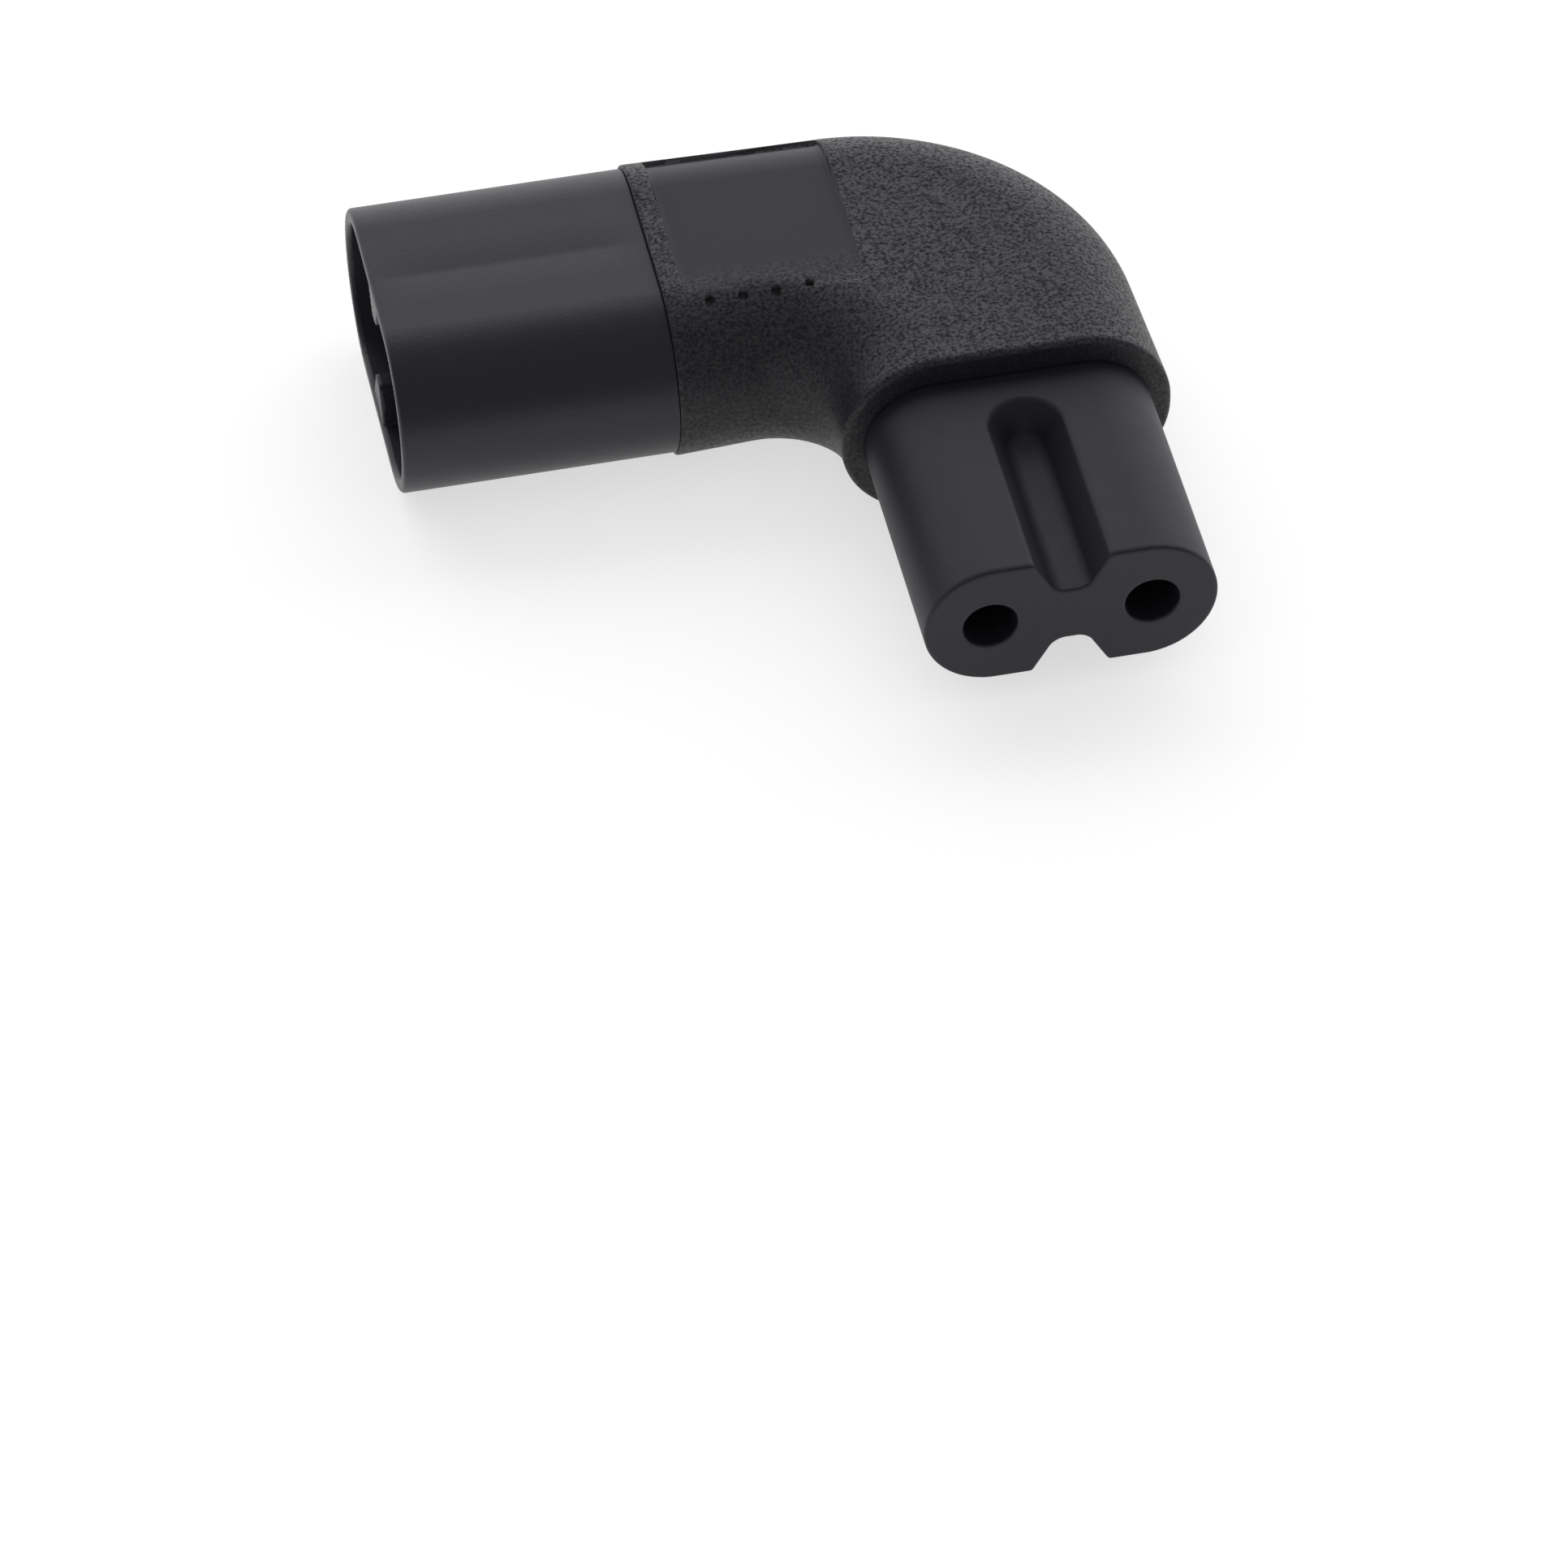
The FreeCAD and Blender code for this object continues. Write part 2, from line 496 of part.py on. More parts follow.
def panel(body):
    """Bare recess in the inlet leg: its floor runs out on the inner side and is round on the outer side."""
    sketch = new_sketch(body, "panel", "YZ_Plane", f"{SEAM_X} + sizes.panel_gap")
    inset = f"({BODY_ROUND} - sizes.panel_depth)"
    centre_y = f"(sizes.leg_width / 2 - {BODY_ROUND})"
    centre_z = "sizes.body_parting_land / 2"
    wide, high, radius = value(centre_y), value(centre_z), value(inset)
    wrap = math.radians(value("sizes.panel_wrap"))
    inner_floor = "sizes.body_thickness / 2 - sizes.panel_inner_depth"
    near, low = -value("sizes.panel_reach"), value(inner_floor)
    roof = value(f"sizes.body_thickness / 2 + {BEYOND}")
    reach = radius + value(BEYOND)
    step = (wide + radius * math.sin(wrap), high + radius * math.cos(wrap))
    clear = (wide + reach * math.sin(wrap), high + reach * math.cos(wrap))
    floor = line(sketch, (near, low), (wide, high + radius))
    turn = arc(sketch, (wide, high), radius, 90 - math.degrees(wrap), 90)
    wall = line(sketch, step, clear)
    side = line(sketch, clear, (clear[0], roof))
    cover = line(sketch, (clear[0], roof), (near, roof))
    edge = line(sketch, (near, roof), (near, low))
    for first, second in ((wall, side), (side, cover), (cover, edge), (edge, floor)):
        tie(sketch, "Coincident", first, 2, second, 1)
    tie(sketch, "Coincident", floor, 2, turn, 2)
    tie(sketch, "Coincident", turn, 1, wall, 1)
    tie(sketch, "Vertical", turn, 3, turn, 2)
    tie(sketch, "PointOnObject", turn, 3, wall)
    tie(sketch, "Horizontal", cover)
    tie(sketch, "Vertical", side)
    tie(sketch, "Vertical", edge)
    bind(sketch, "DistanceX", (-1, 1, turn, 3), centre_y)
    bind(sketch, "DistanceY", (-1, 1, turn, 3), centre_z)
    bind(sketch, "Radius", (turn,), inset)
    bind(sketch, "Angle", (wall,), "90 deg - sizes.panel_wrap * 1 deg")
    bind(sketch, "Distance", (wall, 1, wall, 2), BEYOND)
    bind(sketch, "DistanceX", (-1, 1, floor, 1), "-sizes.panel_reach")
    bind(sketch, "DistanceY", (-1, 1, floor, 1), inner_floor)
    bind(sketch, "DistanceY", (-1, 1, cover, 1), f"sizes.body_thickness / 2 + {BEYOND}")
    pocket(body, sketch, "sizes.panel_length", reverse=True)
    dots = new_sketch(body, "dots", "XY_Plane", "sizes.body_thickness / 2")
    for place in range(DOTS):
        along = f"{SEAM_X} + sizes.panel_gap + sizes.dot_margin + {place} * sizes.dot_pitch"
        circle_at(dots, along, "-sizes.dot_row", "sizes.dot_diameter")
    pocket(body, dots, "sizes.dot_depth")


pins = [inlet_pin("inner_pin", -1), inlet_pin("outer_pin", 1)]
contacts = [socket_contact("inner_socket_contact", -1), socket_contact("outer_socket_contact", 1)]
wires = []
insulation = []
for name, side in (("inner", -1), ("outer", 1)):
    wires.append(jumper(f"{name}_jumper_wire", side, f"{PIN_CUP_X} - sizes.cup_depth",
                        f"{CONTACT_CUP_Y} - sizes.cup_depth", ["sizes.wire_diameter"]))
    insulation.append(jumper(f"{name}_jumper_insulation", side, PIN_CUP_X, CONTACT_CUP_Y,
                             ["sizes.insulation_diameter", "sizes.wire_diameter"]))

shroud = cut("inlet_shroud", inlet_insert(), fuse("pin_pair", pins))
nose = nose_insert()
nose.Label = "connector_nose"
inside = fuse("moulded_in", [shroud, nose] + pins + contacts + wires + insulation)
overmould = cut("overmould_body", elbow(), inside)

doc.recompute()
failed = [o.Name for o in doc.Objects if "Invalid" in o.State or "Error" in o.State]
if failed:
    raise RuntimeError(f"not built: {failed}")

os.makedirs("parts", exist_ok=True)
for part in [overmould, shroud, nose] + pins + contacts + wires + insulation:
    if part.Shape.isNull() or not part.Shape.isValid():
        raise RuntimeError(f"{part.Label} has no valid shape")
    part.Shape.exportStep(f"parts/{part.Label}.step")
    print(part.Label, len(part.Shape.Solids), "solid", round(part.Shape.Volume, 2), "mm3")
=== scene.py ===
"""Looks of a right-angle figure-eight adapter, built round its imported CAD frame.

Lengths in the piece sections are millimetres about the crossing of the two connector axes, as in the
part's own drawing. The inlet looks along -X and the nose along -Y.
"""

import math

import bpy
import numpy as np
from mathutils import Matrix, Vector


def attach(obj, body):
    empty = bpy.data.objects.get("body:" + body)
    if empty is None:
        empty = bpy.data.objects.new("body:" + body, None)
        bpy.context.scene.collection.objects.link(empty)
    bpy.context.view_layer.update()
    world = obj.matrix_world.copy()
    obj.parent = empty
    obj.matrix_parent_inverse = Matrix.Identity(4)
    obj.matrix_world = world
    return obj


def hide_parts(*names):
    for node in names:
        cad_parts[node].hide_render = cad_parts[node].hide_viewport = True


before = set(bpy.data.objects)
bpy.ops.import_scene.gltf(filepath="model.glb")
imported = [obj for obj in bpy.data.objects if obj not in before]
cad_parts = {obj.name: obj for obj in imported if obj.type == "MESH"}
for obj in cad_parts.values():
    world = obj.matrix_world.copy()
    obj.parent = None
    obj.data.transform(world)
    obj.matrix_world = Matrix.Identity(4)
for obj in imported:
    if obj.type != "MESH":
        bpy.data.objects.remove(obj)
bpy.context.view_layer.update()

# Elbow: soft PVC shot round the two hard inserts. Its skin has a fine spark-eroded grain, shallower on the
# walls so that they leave the mould, and a smooth, bare label recess on the inlet leg. The legs draw in
# towards the bend.
MM = 0.001
CROSSING = Vector((11.4, 9.325, 5.3))
SEAM_X, COLLAR_Y = -16.825, -13.15
SEAM_GAP, SEAM_ROUND, COLLAR_ROUND = 0.02, 0.12, 0.3
HALF_THICKNESS, PARTING_LAND = 5.3, 0.3
HALF_LEG, HALF_COLLAR = 9.1, 8.925
BEND_CENTRE, BEND_RADIUS, BEND_DEGREES = (-6.32, -6.15), 15.0, (1.9, 88.7)
CROOK_CENTRE, CROOK_RADIUS, CROOK_DEGREES = (-12.325, -12.244), 3.4, (93.3, 0)
PANEL_GAP, PANEL_LENGTH, PANEL_END_Y, PANEL_WRAP = 1.2, 9.6, -5.85, math.radians(42)
PANEL_DEPTH, PANEL_INNER_DEPTH, PANEL_SMOOTH_Y = 0.35, 0.08, -3.0
PANEL_FLOOR_ROUND, PANEL_EDGE_ROUND, PANEL_EDGE_WIDTH = 0.15, 0.1, 0.05
DOT_COUNT, DOT_MARGIN, DOT_PITCH, DOT_ROW_Y = 4, 1.2, 1.8, -5.45
DOT_RADIUS, DOT_DEPTH, DOT_ROUND = 0.25, 0.5, 0.05
SHROUD_SPIGOT = {"width": 15.1, "height": 7.0, "length": 3.5}
NOSE_SPIGOT = {"width": 14.0, "height": 6.0, "length": 3.0}
PLAIN_GRAIN = 0.42


def moulded(name, field, low, high, step):
    """Meshes the surface where a distance field is zero, with one vertex in each cell that it crosses.

    The vertices settle on the surface, and then move to where the faces round them meet, so that edges
    come out crisp.
    """
    axes = [np.arange(a, b + step, step) for a, b in zip(low, high)]
    inside = field(*np.meshgrid(*axes, indexing="ij", sparse=True)) < 0
    ends = (slice(None, -1), slice(1, None))
    corners = sum(inside[i, j, k].astype(np.int8) for i in ends for j in ends for k in ends)
    crossed = (corners > 0) & (corners < 8)
    number = np.full(crossed.shape, -1)
    number[crossed] = np.arange(crossed.sum())
    centres = np.array(low) + (np.argwhere(crossed) + 0.5) * step
    quads = []
    for a in range(3):
        order = (a, (a + 1) % 3, (a + 2) % 3)
        side, cell = np.transpose(inside, order), np.transpose(number, order)
        before, after = side[:-1, 1:-1, 1:-1], side[1:, 1:-1, 1:-1]
        i, j, k = np.nonzero(before != after)
        ring = np.stack([cell[i, j, k], cell[i, j + 1, k], cell[i, j + 1, k + 1], cell[i, j, k + 1]], 1)
        ring[after[i, j, k]] = ring[after[i, j, k]][:, ::-1]
        quads.append(ring)
    quads = np.concatenate(quads)
    points = settled(field, centres, centres, step)
    points = settled(field, points + to_edges(points, unit(gradient(field, points)), quads), centres, step)
    mesh = bpy.data.meshes.new(name)
    mesh.from_pydata((points + np.array(CROSSING)) * MM, [], quads.tolist())
    mesh.shade_smooth()
    mesh.normals_split_custom_set_from_vertices(unit(gradient(field, points)))
    piece = bpy.data.objects.new(name, mesh)
    bpy.context.scene.collection.objects.link(piece)
    return piece


def settled(field, points, centres, step, turns=4, slack=0.7, stride=0.8):
    """Moves points on to the surface of a field, each in or near its own cell."""
    for _ in range(turns):
        points = np.clip(points, centres - slack * step, centres + slack * step)
        slope = gradient(field, points)
        points = points - stride * (field(*points.T) / (slope ** 2).sum(1))[:, None] * slope
    return points


def to_edges(points, normals, quads, hold=0.05):
    """Steps from points to where the faces round them meet, held back where those lie in one plane."""
    planes, offsets = np.tile(hold * np.eye(3), (len(points), 1, 1)), np.zeros_like(points)
    for turn in (1, 2, 3):
        here, there = quads.ravel(), np.roll(quads, turn, axis=1).ravel()
        facing = normals[there]
        apart = (facing * (points[there] - points[here])).sum(1, keepdims=True)
        np.add.at(planes, here, facing[:, :, None] * facing[:, None, :])
        np.add.at(offsets, here, facing * apart)
    return np.linalg.solve(planes, offsets[:, :, None])[:, :, 0]


def unit(vectors):
    """Vectors at a length of one."""
    return vectors / np.linalg.norm(vectors, axis=1, keepdims=True)


def gradient(field, points, reach=0.02, least=1e-9):
    """Slope of a distance field at points, from its values on both sides of each."""
    slope = np.empty_like(points)
    for axis in range(3):
        shift = np.eye(3)[axis] * reach
        slope[:, axis] = field(*(points + shift).T) - field(*(points - shift).T)
    return slope / (2 * reach) + least


def both(a, b, radius):
    """Where two fields overlap, with the edge between them rounded."""
    corner = np.hypot(np.maximum(a + radius, 0), np.maximum(b + radius, 0))
    return np.minimum(-radius, np.maximum(a, b)) + corner


def less(a, b, radius):
    """The first field without the second, with the edge between them rounded."""
    return both(a, -b, radius)


def stadium(u, v, width, height):
    """Distance to an outline with full-round ends."""
    return np.hypot(np.maximum(np.abs(u) - (width - height) / 2, 0), v) - height / 2


def spigot(u, v, depth, width, height, length):
    """Distance to an insert's root, which locks it in the elbow."""
    return np.maximum(stadium(u, v, width, height), depth - length)


def arc(centre, radius, degrees, count=40):
    """Points along an arc from one angle to another."""
    angles = np.radians(np.linspace(*degrees, count))
    return [(centre[0] + radius * math.cos(t), centre[1] + radius * math.sin(t)) for t in angles]


def elbow_plan(x, y, beyond=10.0):
    """Distance to the outline of the elbow seen from above, with both legs carried on past their ends."""
    outline = [
        (SEAM_X - beyond, -HALF_LEG), (SEAM_X, -HALF_LEG), *arc(CROOK_CENTRE, CROOK_RADIUS, CROOK_DEGREES),
        (-HALF_COLLAR, COLLAR_Y - beyond), (HALF_COLLAR, COLLAR_Y - beyond), (HALF_COLLAR, COLLAR_Y),
        *arc(BEND_CENTRE, BEND_RADIUS, BEND_DEGREES), (SEAM_X, HALF_LEG), (SEAM_X - beyond, HALF_LEG),
    ]
    nearest = np.full(np.broadcast(x, y).shape, np.inf)
    within = np.zeros(nearest.shape, bool)
    for (x0, y0), (x1, y1) in zip(outline, outline[1:] + outline[:1]):
        along = ((x - x0) * (x1 - x0) + (y - y0) * (y1 - y0)) / ((x1 - x0) ** 2 + (y1 - y0) ** 2)
        along = np.clip(along, 0, 1)
        nearest = np.minimum(nearest, np.hypot(x - x0 - along * (x1 - x0), y - y0 - along * (y1 - y0)))
        if y0 != y1:
            within ^= ((y0 > y) != (y1 > y)) & (x < x0 + (y - y0) * (x1 - x0) / (y1 - y0))
    return np.where(within, -nearest, nearest)


def elbow(x, y, z):
    """Distance to the elbow, without its label recess, the dots and the seats of both inserts."""
    edge = HALF_THICKNESS - PARTING_LAND / 2
    across, up = elbow_plan(x, y) + edge, np.abs(z) - PARTING_LAND / 2
    skin = np.minimum(np.maximum(across, up), 0) + np.hypot(np.maximum(across, 0), np.maximum(up, 0)) - edge
    solid = both(skin, SEAM_X + SEAM_GAP - x, SEAM_ROUND)
    solid = both(solid, COLLAR_Y - y, COLLAR_ROUND)
    start = SEAM_X + PANEL_GAP
    flat_end = HALF_LEG - edge
    share = np.minimum((y - PANEL_END_Y) / (flat_end - PANEL_END_Y), 1)
    depth = PANEL_INNER_DEPTH + (PANEL_DEPTH - PANEL_INNER_DEPTH) * share
    above = np.where(y > flat_end, skin, z - HALF_THICKNESS) + depth
    past_wrap = (y - flat_end) * math.cos(PANEL_WRAP) - (z - PARTING_LAND / 2) * math.sin(PANEL_WRAP)
    lengthwise = np.maximum(start - x, x - start - PANEL_LENGTH)
    panel = np.maximum(lengthwise, np.maximum(PANEL_END_Y - y, past_wrap))
    solid = less(solid, both(panel, -above, PANEL_FLOOR_ROUND), PANEL_EDGE_ROUND)
    for place in range(DOT_COUNT):
        dot = np.hypot(x - start - DOT_MARGIN - DOT_PITCH * place, y - DOT_ROW_Y) - DOT_RADIUS
        solid = less(solid, np.maximum(dot, HALF_THICKNESS - DOT_DEPTH - z), DOT_ROUND)
    solid = np.maximum(solid, -spigot(y, z, x - SEAM_X, **SHROUD_SPIGOT))
    return np.maximum(solid, -spigot(x, z, y - COLLAR_Y, **NOSE_SPIGOT))


overmould = moulded("overmould_skin", elbow, low=(-17.2, -13.55, -5.55), high=(9.4, 9.6, 5.6), step=0.155)
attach(overmould, "root")
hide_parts("overmould_body")


def node(tree, kind, **values):
    """Adds a shader node, with the values of its named sockets."""
    made = tree.nodes.new("ShaderNode" + kind)
    for socket, value in values.items():
        made.inputs[socket.replace("_", " ")].default_value = value
    return made


def maths(tree, operation, *terms):
    """Works on sockets and numbers, and puts out the result."""
    made = node(tree, "Math")
    made.operation = operation
    for socket, term in zip(made.inputs, terms):
        if isinstance(term, float):
            socket.default_value = term
        else:
            tree.links.new(term, socket)
    return made.outputs["Value"]


def ranged(tree, value, **limits):
    """Carries a value from one range to another."""
    made = node(tree, "MapRange", **limits)
    tree.links.new(value, made.inputs["Value"])
    return made.outputs["Result"]


def finish(name, colour, roughness):
    """Starts a material: the plain colour and gloss that its nodes then vary."""
    material = bpy.data.materials.new(name)
    material.use_nodes = True
    shader = material.node_tree.nodes["Principled BSDF"]
    shader.inputs["Base Color"].default_value = (*colour, 1)
    shader.inputs["Roughness"].default_value = roughness
    return material, material.node_tree, shader


mould_grain = bpy.data.node_groups.new("mould_grain", "ShaderNodeTree")
for name in ("Scale", "Sharpness"):
    mould_grain.interface.new_socket(name, in_out="INPUT", socket_type="NodeSocketFloat")
mould_grain.interface.new_socket("Grain", in_out="OUTPUT", socket_type="NodeSocketFloat")
given = mould_grain.nodes.new("NodeGroupInput")
put_out = mould_grain.nodes.new("NodeGroupOutput")
where = node(mould_grain, "TexCoord")
pits = node(mould_grain, "TexNoise", Detail=2.0)
mould_grain.links.new(where.outputs["Object"], pits.inputs["Vector"])
mould_grain.links.new(given.outputs["Scale"], pits.inputs["Scale"])
mould_grain.links.new(given.outputs["Sharpness"], pits.inputs["Roughness"])
spread = ranged(mould_grain, pits.outputs["Fac"], From_Min=0.3, From_Max=0.7)
mould_grain.links.new(spread, put_out.inputs["Grain"])


def grained(tree, scale, sharpness):
    """Places the mould's grain in a material."""
    grain = tree.nodes.new("ShaderNodeGroup")
    grain.node_tree = mould_grain
    grain.inputs["Scale"].default_value = scale
    grain.inputs["Sharpness"].default_value = sharpness
    return grain.outputs["Grain"]


def tinted(tree, shader, factor, dark, light):
    """Runs the base colour between two tints."""
    tint = tree.nodes.new("ShaderNodeMix")
    tint.data_type = "RGBA"
    tint.inputs["A"].default_value = (*dark, 1)
    tint.inputs["B"].default_value = (*light, 1)
    tree.links.new(factor, tint.inputs["Factor"])
    tree.links.new(tint.outputs["Result"], shader.inputs["Base Color"])


def bumped(tree, shader, height, depth):
    """Gives the surface a relief that is too fine to mesh."""
    bump = node(tree, "Bump", Strength=1.0, Distance=depth * MM)
    tree.links.new(height, bump.inputs["Height"])
    tree.links.new(bump.outputs["Normal"], shader.inputs["Normal"])


soft_black, tree, shader = finish("soft_black", (0.0135, 0.0132, 0.017), 0.45)
where = node(tree, "TexCoord")
place, facing = node(tree, "SeparateXYZ"), node(tree, "SeparateXYZ")
tree.links.new(where.outputs["Object"], place.inputs["Vector"])
tree.links.new(where.outputs["Normal"], facing.inputs["Vector"])
middle = CROSSING.x + SEAM_X + PANEL_GAP + PANEL_LENGTH / 2
along = maths(tree, "COMPARE", place.outputs["X"], middle * MM, (PANEL_LENGTH / 2 + PANEL_EDGE_WIDTH) * MM)
across = ranged(tree, place.outputs["Y"], From_Min=(CROSSING.y + PANEL_END_Y) * MM,
                From_Max=(CROSSING.y + PANEL_SMOOTH_Y) * MM)
wrap_end = PARTING_LAND / 2 + (HALF_THICKNESS - PARTING_LAND / 2 - PANEL_DEPTH) * math.cos(PANEL_WRAP)
above_wrap = maths(tree, "GREATER_THAN", place.outputs["Z"], (CROSSING.z + wrap_end) * MM)
recess = maths(tree, "MULTIPLY", maths(tree, "MULTIPLY", across, above_wrap), along)
upright = maths(tree, "ABSOLUTE", facing.outputs["Z"])
wall = ranged(tree, upright, From_Min=0.2, From_Max=0.95, To_Min=0.62, To_Max=0.0)
smoothed = node(tree, "Mix", B=PLAIN_GRAIN)
tree.links.new(maths(tree, "MAXIMUM", recess, wall), smoothed.inputs["Factor"])
tree.links.new(grained(tree, scale=5600.0, sharpness=0.5), smoothed.inputs["A"])
grain = smoothed.outputs["Result"]
shader.inputs["Specular IOR Level"].default_value = 0.2
shader.inputs["Coat Roughness"].default_value = 0.5
tree.links.new(ranged(tree, grain, To_Min=0.65, To_Max=0.5), shader.inputs["Roughness"])
tree.links.new(ranged(tree, grain, From_Min=0.12, From_Max=0.8), shader.inputs["Coat Weight"])
tinted(tree, shader, grain, dark=(0.0108, 0.0105, 0.014), light=(0.0178, 0.0174, 0.023))
bumped(tree, shader, grain, depth=0.05)
overmould.data.materials.append(soft_black)

# Inlet shroud: hard moulded insert with a stadium cavity and a key on each wide wall, over which the
# plastic has sunk a little as it cooled. Only the shroud shows; the spigot behind the seam locks it in.
SHROUD_WIDTH, SHROUD_HEIGHT, SHROUD_LENGTH, RIM_ROUND = 18.1, 10.0, 14.9, 0.25
CAVITY_WIDTH, CAVITY_HEIGHT, CAVITY_DEPTH, MOUTH_ROUND = 16.5, 8.4, 12.5, 0.2
KEY_SETBACK, KEY_TIP_Z, KEY_HALF_TIP, KEY_FLARE = 0.1, 2.2, 0.55, 0.45
KEY_ROUND, KEY_FRONT_ROUND, KEY_OVERLAP = 0.15, 0.08, 0.3
SINK_DEPTH, SINK_HALF_WIDTH, SINK_ROUND, SINK_FADE = 0.13, 2.3, 0.15, 2.5
SPIGOT_OVERLAP = 1.0
RIM_X = SEAM_X - SHROUD_LENGTH
CAVITY_FLOOR_X = RIM_X + CAVITY_DEPTH


def shroud(x, y, z):
    """Distance to the shroud, with its keys and its spigot."""
    run = np.clip(np.minimum(x - RIM_X, SEAM_X - x) / SINK_FADE, 0, 1)
    sunk = SINK_DEPTH * run * np.maximum(1 - np.hypot(y, SINK_ROUND) / SINK_HALF_WIDTH, 0) ** 2
    outside = both(stadium(y, z, SHROUD_WIDTH, SHROUD_HEIGHT) + sunk, RIM_X - x, RIM_ROUND)
    outside = np.maximum(outside, x - SEAM_X)
    cavity = np.maximum(stadium(y, z, CAVITY_WIDTH, CAVITY_HEIGHT), x - CAVITY_FLOOR_X)
    wall = less(outside, cavity, MOUTH_ROUND)
    high = np.abs(z)
    flank = (np.abs(y) - KEY_HALF_TIP - (high - KEY_TIP_Z) * KEY_FLARE) / math.hypot(1, KEY_FLARE)
    key = both(both(flank, KEY_TIP_Z - high, KEY_ROUND), RIM_X + KEY_SETBACK - x, KEY_FRONT_ROUND)
    key = np.maximum(key, np.maximum(high - CAVITY_HEIGHT / 2, x - CAVITY_FLOOR_X) - KEY_OVERLAP)
    root = np.maximum(spigot(y, z, x - SEAM_X, **SHROUD_SPIGOT), SEAM_X - SPIGOT_OVERLAP - x)
    return np.minimum(np.minimum(wall, key), root)


shroud_skin = moulded("shroud_skin", shroud, low=(-32.1, -9.4, -5.3), high=(-13.0, 9.4, 5.3), step=0.16)
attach(shroud_skin, "root")
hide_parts("inlet_shroud")


def hard_plastic(name, smooth, dull, shine):
    """Hard moulded black, with a faint haze in its gloss and a very fine tooth."""
    material, tree, shader = finish(name, (0.0123, 0.012, 0.0212), smooth)
    shader.inputs["Specular IOR Level"].default_value = shine
    haze = grained(tree, scale=700.0, sharpness=0.6)
    tree.links.new(ranged(tree, haze, To_Min=smooth, To_Max=dull), shader.inputs["Roughness"])
    tinted(tree, shader, haze, dark=(0.0118, 0.0115, 0.0205), light=(0.0128, 0.0125, 0.0218))
    bumped(tree, shader, grained(tree, scale=5200.0, sharpness=0.5), depth=0.004)
    return material


shroud_skin.data.materials.append(hard_plastic("hard_black", smooth=0.40, dull=0.43, shine=0.5))

# Connector nose: hard moulded insert of the same plastic from a duller tool, with a key groove on each
# flat that closes short of the collar, and two holes in its face with a chamber for a contact behind each.
NOSE_WIDTH, NOSE_HEIGHT, NOSE_LENGTH, FACE_ROUND = 15.6, 7.6, 14.6, 0.2
GROOVE_LENGTH, GROOVE_HALF_MOUTH, GROOVE_HALF_FLOOR, GROOVE_FLARE = 12.6, 2.05, 0.85, 0.57
GROOVE_FLOOR_Z, GROOVE_FLOOR_ROUND, GROOVE_LIP_ROUND = 1.7, 0.45, 0.15
HALF_PITCH, HOLE_RADIUS, HOLE_DEPTH, HOLE_ROUND = 4.3, 1.45, 4.0, 0.1
CHAMBER_RADIUS, CHAMBER_START = 1.75, 3.0
FACE_Y = COLLAR_Y - NOSE_LENGTH


def nose(x, y, z):
    """Distance to the nose and its spigot, without the grooves, the holes and the chambers."""
    solid = both(stadium(x, z, NOSE_WIDTH, NOSE_HEIGHT), FACE_Y - y, FACE_ROUND)
    solid = np.maximum(solid, y - COLLAR_Y)
    root = np.maximum(spigot(x, z, y - COLLAR_Y, **NOSE_SPIGOT), COLLAR_Y - SPIGOT_OVERLAP - y)
    solid = np.minimum(solid, root)
    high = np.abs(z)
    run = np.hypot(x, np.maximum(y - (FACE_Y + GROOVE_LENGTH - GROOVE_HALF_MOUTH), 0))
    flank = (run - GROOVE_HALF_FLOOR - (high - GROOVE_FLOOR_Z) * GROOVE_FLARE) / math.hypot(1, GROOVE_FLARE)
    solid = less(solid, both(flank, GROOVE_FLOOR_Z - high, GROOVE_FLOOR_ROUND), GROOVE_LIP_ROUND)
    for side in (-1, 1):
        radius = np.hypot(x - side * HALF_PITCH, z)
        solid = less(solid, np.maximum(radius - HOLE_RADIUS, y - FACE_Y - HOLE_DEPTH), HOLE_ROUND)
        solid = np.maximum(solid, -np.maximum(radius - CHAMBER_RADIUS, FACE_Y + CHAMBER_START - y))
    return solid


nose_skin = moulded("nose_skin", nose, low=(-8.1, -28.1, -4.1), high=(8.1, -9.9, 4.1), step=0.13)
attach(nose_skin, "root")
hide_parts("connector_nose")
nose_skin.data.materials.append(hard_plastic("nose_black", smooth=0.53, dull=0.56, shine=0.48))

# Metal and wiring inside, carried over from the CAD frame: nickel-plated pins, sprung brass contacts
# behind the nose's holes, and two insulated copper jumpers between them.
finishes = {}
for name, dark, light, smooth, dull in (
    ("nickel", (0.56, 0.54, 0.50), (0.66, 0.64, 0.60), 0.22, 0.30),
    ("contact_brass", (0.46, 0.34, 0.15), (0.58, 0.45, 0.22), 0.28, 0.45),
    ("copper", (0.52, 0.27, 0.15), (0.64, 0.36, 0.22), 0.28, 0.45),
):
    finishes[name], tree, shader = finish(name, light, smooth)
    shader.inputs["Metallic"].default_value = 1.0
    film = grained(tree, scale=260.0, sharpness=0.4)
    tree.links.new(ranged(tree, film, To_Min=smooth, To_Max=dull), shader.inputs["Roughness"])
    tinted(tree, shader, film, dark, light)
for name, dark, light in (
    ("blue_insulation", (0.020, 0.070, 0.24), (0.030, 0.095, 0.30)),
    ("brown_insulation", (0.085, 0.035, 0.016), (0.115, 0.050, 0.024)),
):
    finishes[name], tree, shader = finish(name, light, 0.5)
    mottle = grained(tree, scale=2200.0, sharpness=0.5)
    bumped(tree, shader, mottle, depth=0.01)
    tinted(tree, shader, mottle, dark, light)
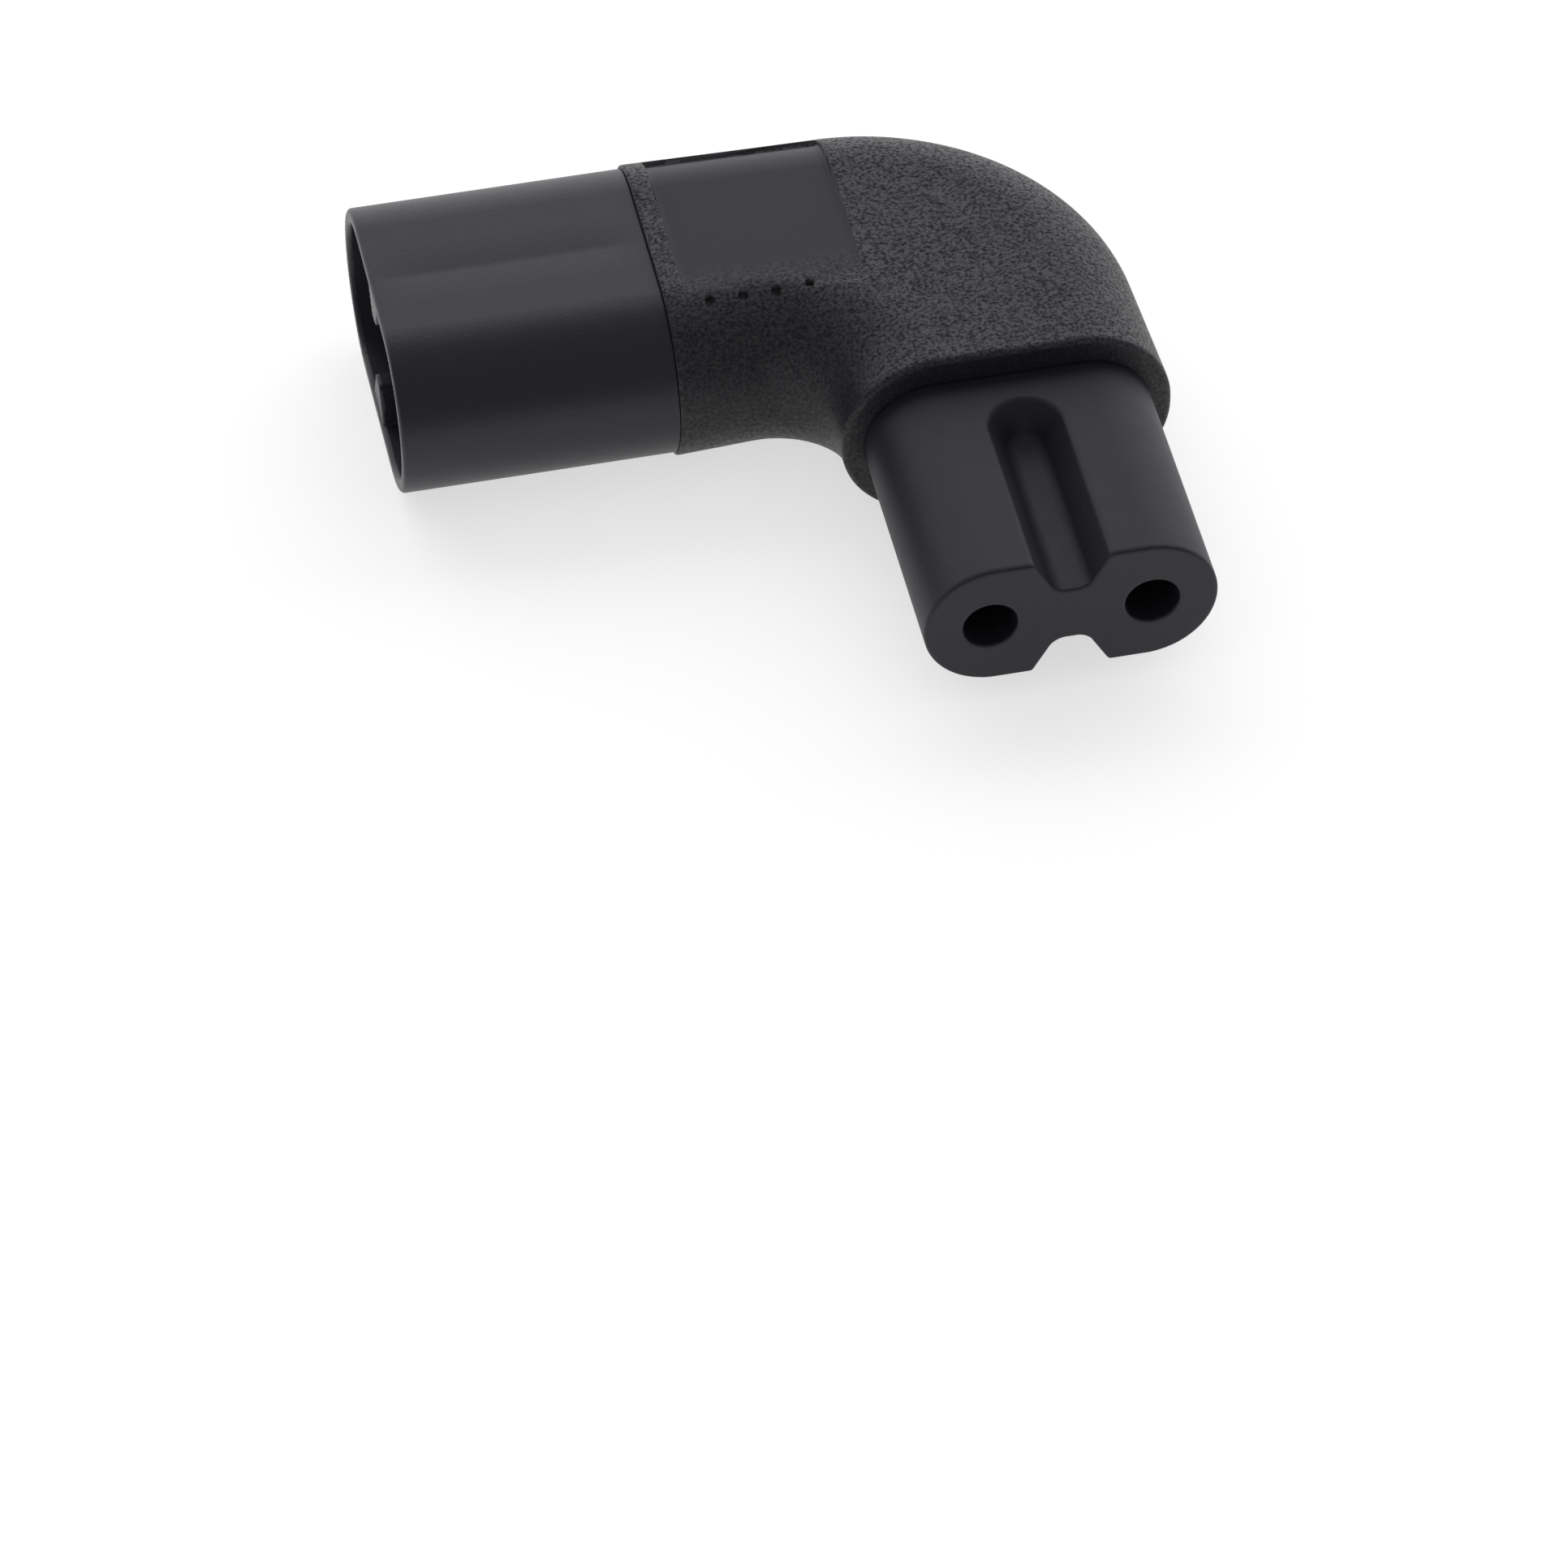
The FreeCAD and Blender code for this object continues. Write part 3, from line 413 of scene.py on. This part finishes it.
for name, material in (
    ("inner_pin", "nickel"), ("outer_pin", "nickel"),
    ("inner_socket_contact", "contact_brass"), ("outer_socket_contact", "contact_brass"),
    ("inner_jumper_wire", "copper"), ("outer_jumper_wire", "copper"),
    ("inner_jumper_insulation", "blue_insulation"), ("outer_jumper_insulation", "brown_insulation"),
):
    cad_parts[name].data.materials[0] = finishes[material]

# Table and studio: a plain pale table, with a wide softbox low on the far side. Lengths here are metres.
TABLE_SIZE, TABLE_GLOW, ROOM_LIGHT = 4, 0.62, 0.32
SOFTBOX_WIDTH, SOFTBOX_HEIGHT, SOFTBOX_DISTANCE, SOFTBOX_LIGHT = 2.0, 0.75, 0.6, 0.95
SOFTBOX_TURN, SOFTBOX_RISE = math.radians(10), math.radians(31)
bpy.ops.mesh.primitive_plane_add(size=TABLE_SIZE, location=(0, 0, 0))
table = bpy.context.object
table.name = "table"
paper, tree, shader = finish("table_paper", (0.8, 0.8, 0.8), 0.9)
shader.inputs["Specular IOR Level"].default_value = 0
shader.inputs["Emission Color"].default_value = (1, 1, 1, 1)
ray = node(tree, "LightPath").outputs
mirrored = maths(tree, "MAXIMUM", ray["Is Glossy Ray"], ray["Is Transmission Ray"])
seen = maths(tree, "MAXIMUM", ray["Is Camera Ray"], mirrored)
tree.links.new(maths(tree, "MULTIPLY", seen, TABLE_GLOW), shader.inputs["Emission Strength"])
table.data.materials.append(paper)

world = bpy.data.worlds.new("studio")
bpy.context.scene.world = world
world.use_nodes = True
world.node_tree.nodes["Background"].inputs["Color"].default_value = (1, 1, 1, 1)
world.node_tree.nodes["Background"].inputs["Strength"].default_value = ROOM_LIGHT

lamp = bpy.data.lights.new("softbox", "AREA")
lamp.shape = "RECTANGLE"
lamp.size = SOFTBOX_WIDTH
lamp.size_y = SOFTBOX_HEIGHT
lamp.energy = SOFTBOX_LIGHT * math.pi * SOFTBOX_WIDTH * SOFTBOX_HEIGHT
lamp.color = (0.965, 0.96, 1.0)
softbox = bpy.data.objects.new("softbox", lamp)
aside = Vector((math.sin(SOFTBOX_TURN), math.cos(SOFTBOX_TURN), 0))
away = math.cos(SOFTBOX_RISE) * aside + Vector((0, 0, math.sin(SOFTBOX_RISE)))
softbox.location = SOFTBOX_DISTANCE * away
softbox.rotation_euler = away.to_track_quat("Z", "Y").to_euler()
softbox.visible_camera = False
bpy.context.scene.collection.objects.link(softbox)

# Camera: where the photograph was taken from, with a long lens. The part lies in the upper half of the
# picture, so the camera looks past it.
AZIMUTH, ELEVATION, ROLL = (math.radians(a) for a in (11.42, 45.33, 0.79))
AIM = Vector((9.1, -28.07, 438.14))
SENSOR_WIDTH, FOCAL_LENGTH, NEAREST = 36, 186.34, 10
ahead = Vector((math.sin(AZIMUTH), math.cos(AZIMUTH), 0))
forward = math.cos(ELEVATION) * ahead - Vector((0, 0, math.sin(ELEVATION)))
level = Vector((math.cos(AZIMUTH), -math.sin(AZIMUTH), 0))
plumb = forward.cross(level)
right = math.cos(ROLL) * level + math.sin(ROLL) * plumb
down = math.cos(ROLL) * plumb - math.sin(ROLL) * level
eye = CROSSING - (AIM.x * right + AIM.y * down + AIM.z * forward)
lens = bpy.data.cameras.new("camera")
lens.sensor_width = SENSOR_WIDTH
lens.lens = FOCAL_LENGTH
lens.clip_start = NEAREST * MM
camera = bpy.data.objects.new("camera", lens)
turned = Matrix((right, -down, -forward)).transposed()
camera.matrix_world = Matrix.Translation(eye * MM) @ turned.to_4x4()
bpy.context.scene.collection.objects.link(camera)
bpy.context.scene.camera = camera
bpy.context.scene.view_settings.view_transform = "Standard"
